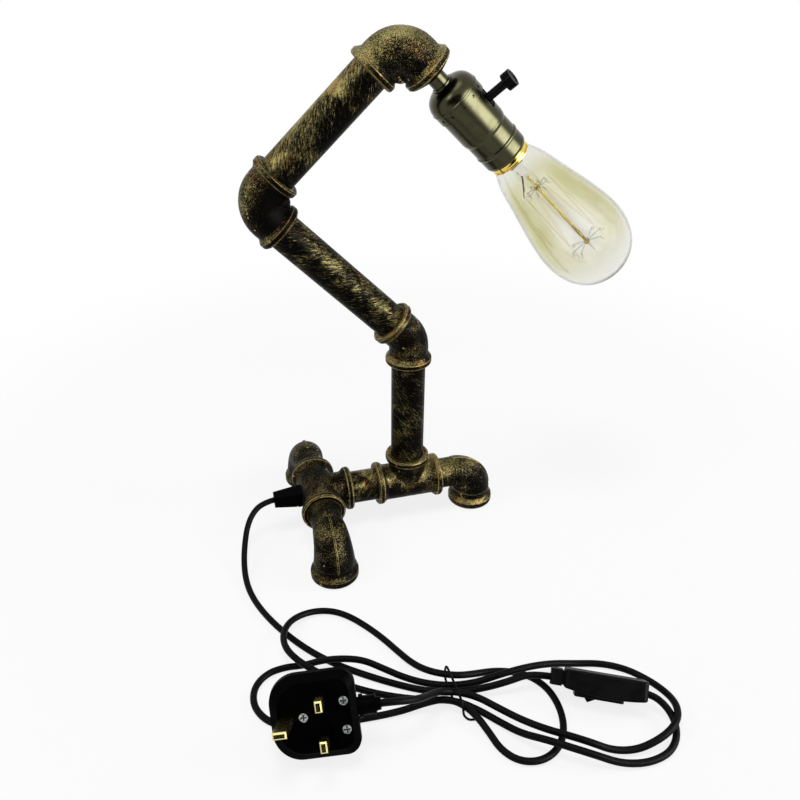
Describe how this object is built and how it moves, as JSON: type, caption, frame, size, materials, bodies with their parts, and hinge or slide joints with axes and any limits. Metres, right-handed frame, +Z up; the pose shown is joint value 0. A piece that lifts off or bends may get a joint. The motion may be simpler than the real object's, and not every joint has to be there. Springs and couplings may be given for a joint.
{
  "type": "table lamp",
  "caption": "Table lamp of pipe fittings and steel tube on feet, with threaded joints that turn, a turn-knob lampholder with a long-filament bulb, an inline rocker switch and a mains plug",
  "frame": {"origin": "middle of the lamp's own box at the floor, cord and what is on it left out", "axes": "+Z up; +X along the base run towards the single foot, under the bulb; +Y to the back foot"},
  "size_m": [0.3003, 0.3408, 0.3633],
  "materials": {
    "bronzed_casting": "rough cast iron, near-black bronze finish rubbed gold on its edges",
    "bronzed_tube": "steel tube, brushed near-black bronze finish with gold streaks",
    "black_plastic": "moulded black plastic, half gloss",
    "black_flex": "black extruded sheath, half gloss",
    "tie_wire": "plastic-covered tie wire",
    "plated_steel": "plated steel",
    "pin_brass": "machined brass",
    "bright_brass": "bright satin brass",
    "antique_brass": "satin brass toned olive gold",
    "cap_brass": "rolled thin brass",
    "cap_glass": "black vitrified insulator",
    "clear_glass": "clear, faintly amber",
    "amber_glass": "clear stem and amber rod",
    "dark_wire": "drawn wire"
  },
  "bodies": {
    "base": {"tee_entry": "bronzed_casting", "base_nipple": "bronzed_tube", "tee_riser": "bronzed_casting", "foot_front": "bronzed_casting", "foot_back": "bronzed_casting", "foot_right": "bronzed_casting", "cord_relief": "black_plastic", "flex_in_base": "black_flex", "lead_lamp_to_switch": "black_flex", "lead_switch_to_plug": "black_flex", "cord_tie": "tie_wire", "inline_case_front": "black_plastic", "inline_case_back": "black_plastic", "inline_screw_1": "plated_steel", "inline_screw_2": "plated_steel", "inline_axle": "plated_steel", "plug_base": "black_plastic", "plug_cover": "black_plastic", "plug_relief": "black_plastic", "pin_earth": "pin_brass", "pin_line": "pin_brass", "pin_neutral": "pin_brass", "sleeve_line": "black_plastic", "sleeve_neutral": "black_plastic", "plug_screw_1": "plated_steel", "plug_screw_2": "plated_steel", "plug_screw_3": "plated_steel"},
    "swing_arm": {"riser_pipe": "bronzed_tube", "elbow_knee": "bronzed_casting", "lower_arm_pipe": "bronzed_tube", "flex_in_riser": "black_flex"},
    "upper_arm": {"elbow_middle": "bronzed_casting", "upper_arm_pipe": "bronzed_tube", "flex_in_upper_arm": "black_flex"},
    "head": {"elbow_top": "bronzed_casting", "reducer_bush": "black_plastic", "holder_nipple": "bright_brass", "holder_cap": "bright_brass", "holder_shell": "antique_brass", "holder_liner": "black_plastic", "holder_body": "black_plastic", "terminal_screw_1": "plated_steel", "terminal_screw_2": "plated_steel", "screw_shell": "cap_brass", "centre_contact": "plated_steel", "flex_in_head": "black_flex"},
    "switch_knob": {"switch_knob": "black_plastic", "switch_spindle": "plated_steel"},
    "bulb": {"bulb_glass": "clear_glass", "bulb_cap": "cap_brass", "bulb_insulator": "cap_glass", "bulb_contact": "plated_steel", "bulb_stem": "amber_glass", "bulb_supports_lower": "dark_wire", "bulb_supports_upper": "dark_wire", "bulb_filament": "dark_wire", "bulb_lead_1": "dark_wire", "bulb_lead_2": "dark_wire"},
    "rocker": {"inline_rocker": "black_plastic"}
  },
  "joints": [
    {"name": "arm_swing", "type": "hinge", "parent": "base", "child": "swing_arm", "pos_m": [-0.022, 0, 0.0555], "axis": [0, 0, 1], "range_deg": [-90, 90]},
    {"name": "upper_arm_turn", "type": "hinge", "parent": "swing_arm", "child": "upper_arm", "pos_m": [-0.1246, 0.01142, 0.25994], "axis": [-0.7028, 0.0782, 0.7071], "range_deg": [-60, 60]},
    {"name": "head_turn", "type": "hinge", "parent": "upper_arm", "child": "head", "pos_m": [-0.0298, 0.00087, 0.35533], "axis": [0.7028, -0.0782, 0.7071], "range_deg": [-90, 90]},
    {"name": "knob_turn", "type": "hinge", "parent": "head", "child": "switch_knob", "pos_m": [0.02645, -0.01161, 0.32494], "axis": [0.6342, -0.3815, 0.6725], "continuous": true},
    {"name": "bulb_turn", "type": "hinge", "parent": "head", "child": "bulb", "pos_m": [0.03345, -0.00617, 0.29169], "axis": [0.7028, -0.0782, -0.7071], "range_deg": [0, 360]},
    {"name": "rocker_tilt", "type": "hinge", "parent": "base", "child": "rocker", "pos_m": [0.04142, -0.2138, 0.00771], "axis": [0.3243, 0.6283, -0.7071], "range_deg": [0, 18]}
  ]
}
